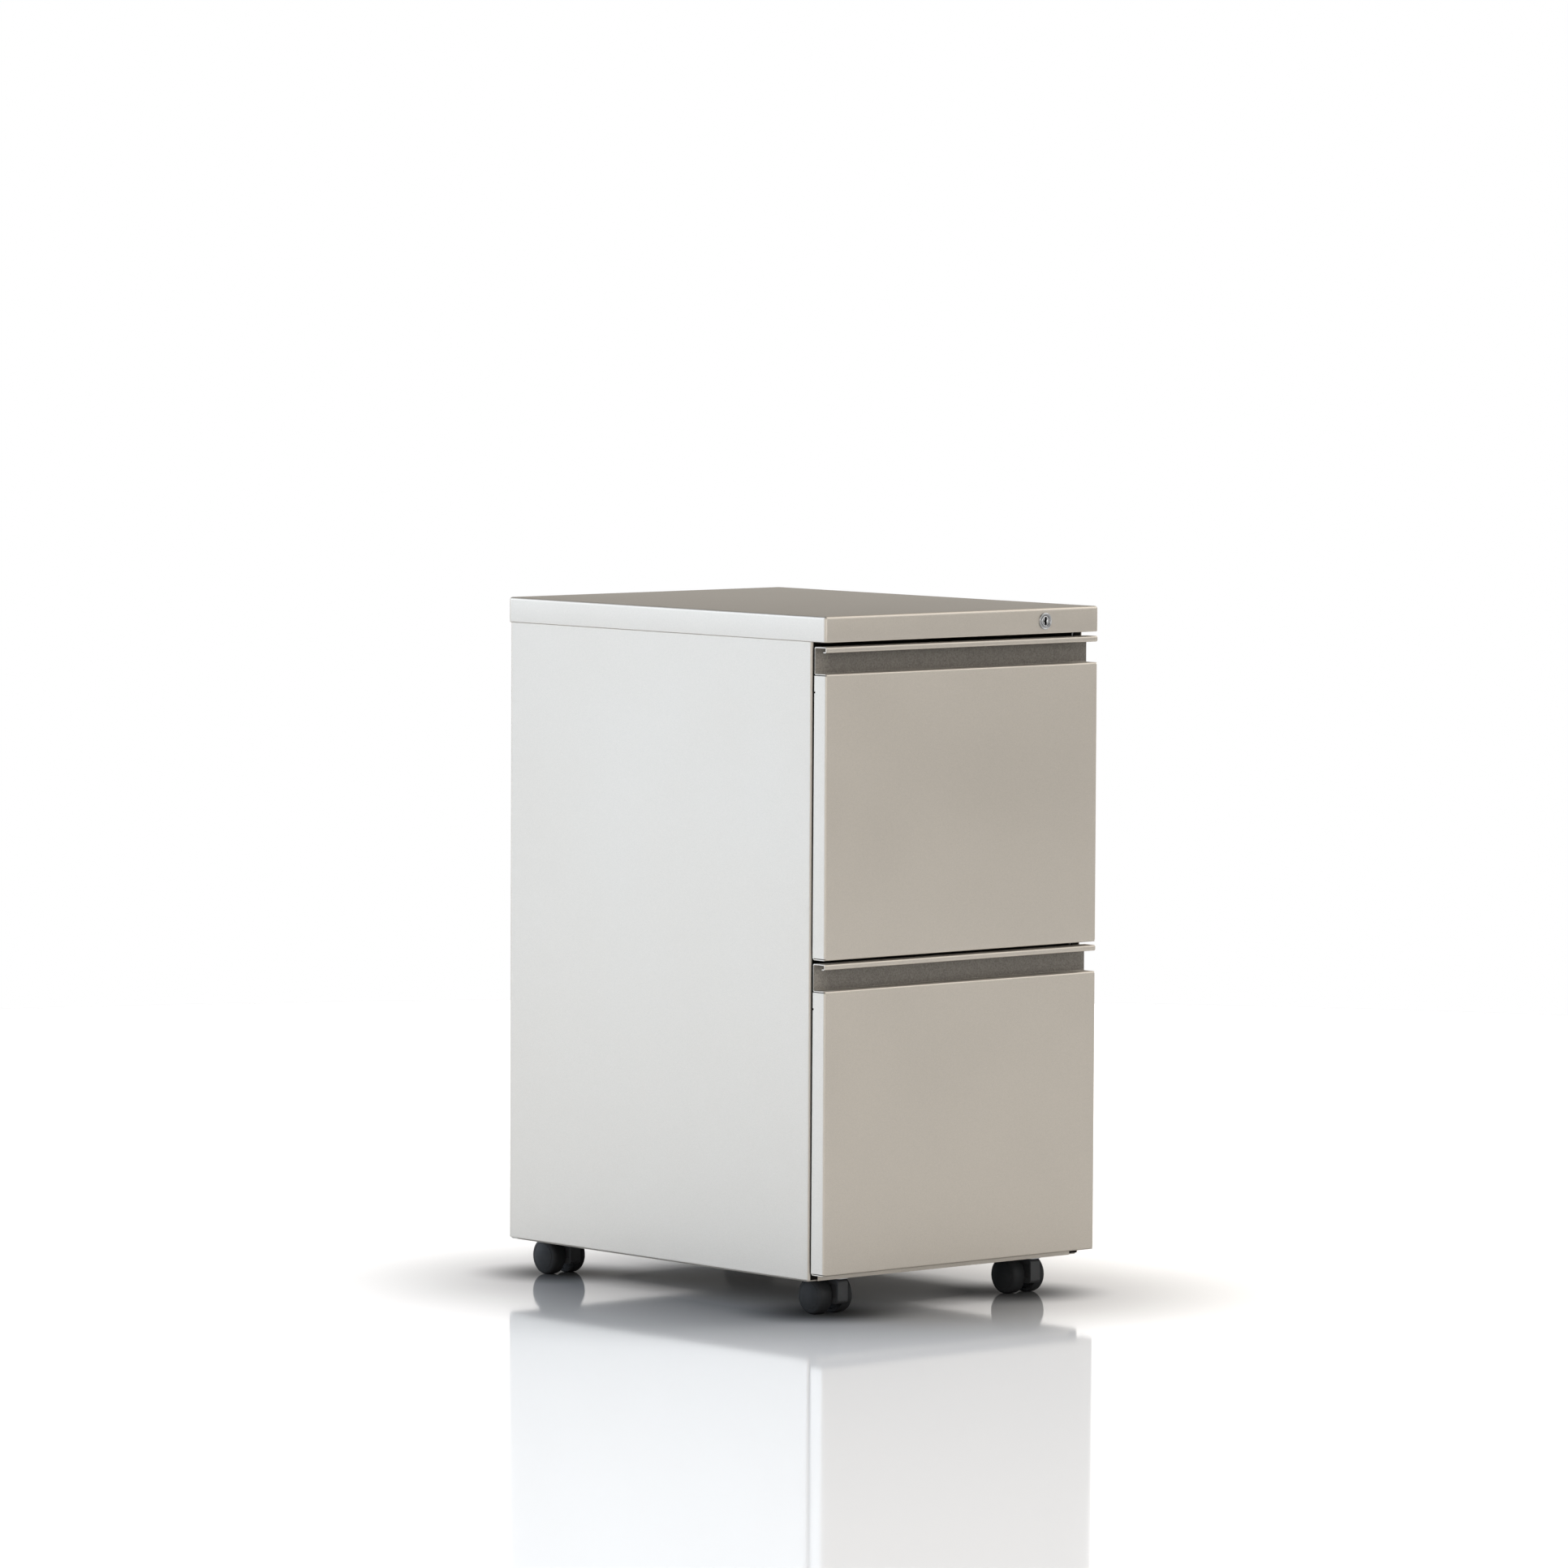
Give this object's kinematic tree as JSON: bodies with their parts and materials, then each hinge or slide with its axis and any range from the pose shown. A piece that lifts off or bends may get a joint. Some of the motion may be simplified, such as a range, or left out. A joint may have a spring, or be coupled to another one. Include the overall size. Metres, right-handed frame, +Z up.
{
  "type": "filing cabinet",
  "caption": "Mobile metal filing cabinet with full-extension file drawers, folded finger pulls, a lock in its top cap and twin-wheel swivel casters.",
  "frame": {"origin": "on the floor, under the centre of the cabinet's box", "axes": "+X to the right of a person facing the drawers, +Y to the back, +Z up; the drawers open along -Y"},
  "size_m": [0.381, 0.5092, 0.724],
  "materials": {
    "paint": "metallic champagne powder coat",
    "inner_paint": "matte powder coat",
    "zinc": "zinc plated",
    "nickel": "bright nickel plate",
    "iron": "rough black",
    "nylon": "moulded, satin",
    "axle_steel": "turned"
  },
  "bodies": {
    "cabinet": {"top_cap": "paint", "left_side_panel": "paint", "right_side_panel": "paint", "back_panel": "paint", "bottom_pan": "inner_paint", "bottom_front_rail": "paint", "top_front_rail": "inner_paint", "front_left_upright": "zinc", "front_right_upright": "zinc", "rear_left_upright": "zinc", "rear_right_upright": "zinc", "counterweight": "iron", "lock_housing": "nickel", "lock_bar_guide": "zinc", "lower_left_slide_outer": "zinc", "lower_right_slide_outer": "zinc", "upper_left_slide_outer": "zinc", "upper_right_slide_outer": "zinc", "front_left_caster_socket": "zinc", "front_right_caster_socket": "zinc", "rear_left_caster_socket": "zinc", "rear_right_caster_socket": "zinc"},
    "lock_cylinder": {"lock_plug": "nickel", "lock_rod": "zinc"},
    "lock_bar": {"lock_bar": "zinc"},
    "upper_drawer": {"upper_drawer_front": "paint", "upper_drawer_tub": "inner_paint", "upper_drawer_catch": "zinc", "upper_left_hanging_rail": "zinc", "upper_left_slide_inner": "zinc", "upper_right_hanging_rail": "zinc", "upper_right_slide_inner": "zinc"},
    "upper_slide_middles": {"upper_left_slide_middle": "zinc", "upper_right_slide_middle": "zinc"},
    "lower_drawer": {"lower_drawer_front": "paint", "lower_drawer_tub": "inner_paint", "lower_drawer_catch": "zinc", "lower_left_hanging_rail": "zinc", "lower_left_slide_inner": "zinc", "lower_right_hanging_rail": "zinc", "lower_right_slide_inner": "zinc"},
    "lower_slide_middles": {"lower_left_slide_middle": "zinc", "lower_right_slide_middle": "zinc"},
    "front_left_caster": {"front_left_caster_body": "nylon", "front_left_caster_axle": "axle_steel"},
    "front_left_left_wheel": {"front_left_caster_left_wheel": "nylon"},
    "front_left_right_wheel": {"front_left_caster_right_wheel": "nylon"},
    "front_right_caster": {"front_right_caster_body": "nylon", "front_right_caster_axle": "axle_steel"},
    "front_right_left_wheel": {"front_right_caster_left_wheel": "nylon"},
    "front_right_right_wheel": {"front_right_caster_right_wheel": "nylon"},
    "rear_left_caster": {"rear_left_caster_body": "nylon", "rear_left_caster_axle": "axle_steel"},
    "rear_left_left_wheel": {"rear_left_caster_left_wheel": "nylon"},
    "rear_left_right_wheel": {"rear_left_caster_right_wheel": "nylon"},
    "rear_right_caster": {"rear_right_caster_body": "nylon", "rear_right_caster_axle": "axle_steel"},
    "rear_right_left_wheel": {"rear_right_caster_left_wheel": "nylon"},
    "rear_right_right_wheel": {"rear_right_caster_right_wheel": "nylon"}
  },
  "joints": [
    {"name": "upper_drawer_slide", "type": "slide", "parent": "cabinet", "child": "upper_drawer", "axis": [0, -1, 0], "range_m": [0, 0.44]},
    {"name": "upper_middles_slide", "type": "slide", "parent": "cabinet", "child": "upper_slide_middles", "axis": [0, -1, 0], "range_m": [0, 0.22]},
    {"name": "lower_drawer_slide", "type": "slide", "parent": "cabinet", "child": "lower_drawer", "axis": [0, -1, 0], "range_m": [0, 0.44]},
    {"name": "lower_middles_slide", "type": "slide", "parent": "cabinet", "child": "lower_slide_middles", "axis": [0, -1, 0], "range_m": [0, 0.22]},
    {"name": "lock_turn", "type": "hinge", "parent": "cabinet", "child": "lock_cylinder", "pos_m": [0.1144, -0.2534, 0.7104], "axis": [0, 1, 0], "range_deg": [0, 90]},
    {"name": "lock_bar_lift", "type": "slide", "parent": "cabinet", "child": "lock_bar", "axis": [0, 0, 1], "range_m": [0, 0.0113]},
    {"name": "front_left_swivel", "type": "hinge", "parent": "cabinet", "child": "front_left_caster", "pos_m": [-0.135, -0.2144, 0], "axis": [0, 0, 1], "continuous": true},
    {"name": "front_left_left_roll", "type": "hinge", "parent": "front_left_caster", "child": "front_left_left_wheel", "pos_m": [-0.135, -0.1954, 0.0195], "axis": [1, 0, 0], "continuous": true},
    {"name": "front_left_right_roll", "type": "hinge", "parent": "front_left_caster", "child": "front_left_right_wheel", "pos_m": [-0.135, -0.1954, 0.0195], "axis": [1, 0, 0], "continuous": true},
    {"name": "front_right_swivel", "type": "hinge", "parent": "cabinet", "child": "front_right_caster", "pos_m": [0.135, -0.2144, 0], "axis": [0, 0, 1], "continuous": true},
    {"name": "front_right_left_roll", "type": "hinge", "parent": "front_right_caster", "child": "front_right_left_wheel", "pos_m": [0.135, -0.1954, 0.0195], "axis": [1, 0, 0], "continuous": true},
    {"name": "front_right_right_roll", "type": "hinge", "parent": "front_right_caster", "child": "front_right_right_wheel", "pos_m": [0.135, -0.1954, 0.0195], "axis": [1, 0, 0], "continuous": true},
    {"name": "rear_left_swivel", "type": "hinge", "parent": "cabinet", "child": "rear_left_caster", "pos_m": [-0.135, 0.2156, 0], "axis": [0, 0, 1], "continuous": true},
    {"name": "rear_left_left_roll", "type": "hinge", "parent": "rear_left_caster", "child": "rear_left_left_wheel", "pos_m": [-0.135, 0.2346, 0.0195], "axis": [1, 0, 0], "continuous": true},
    {"name": "rear_left_right_roll", "type": "hinge", "parent": "rear_left_caster", "child": "rear_left_right_wheel", "pos_m": [-0.135, 0.2346, 0.0195], "axis": [1, 0, 0], "continuous": true},
    {"name": "rear_right_swivel", "type": "hinge", "parent": "cabinet", "child": "rear_right_caster", "pos_m": [0.135, 0.2156, 0], "axis": [0, 0, 1], "continuous": true},
    {"name": "rear_right_left_roll", "type": "hinge", "parent": "rear_right_caster", "child": "rear_right_left_wheel", "pos_m": [0.135, 0.2346, 0.0195], "axis": [1, 0, 0], "continuous": true},
    {"name": "rear_right_right_roll", "type": "hinge", "parent": "rear_right_caster", "child": "rear_right_right_wheel", "pos_m": [0.135, 0.2346, 0.0195], "axis": [1, 0, 0], "continuous": true}
  ],
  "couplings": [
    {"joint": "upper_middles_slide", "follows": "upper_drawer_slide", "ratio": 0.5},
    {"joint": "lower_middles_slide", "follows": "lower_drawer_slide", "ratio": 0.5},
    {"joint": "lock_turn", "follows": "lock_bar_lift", "rad_per_m": 138.84}
  ]
}
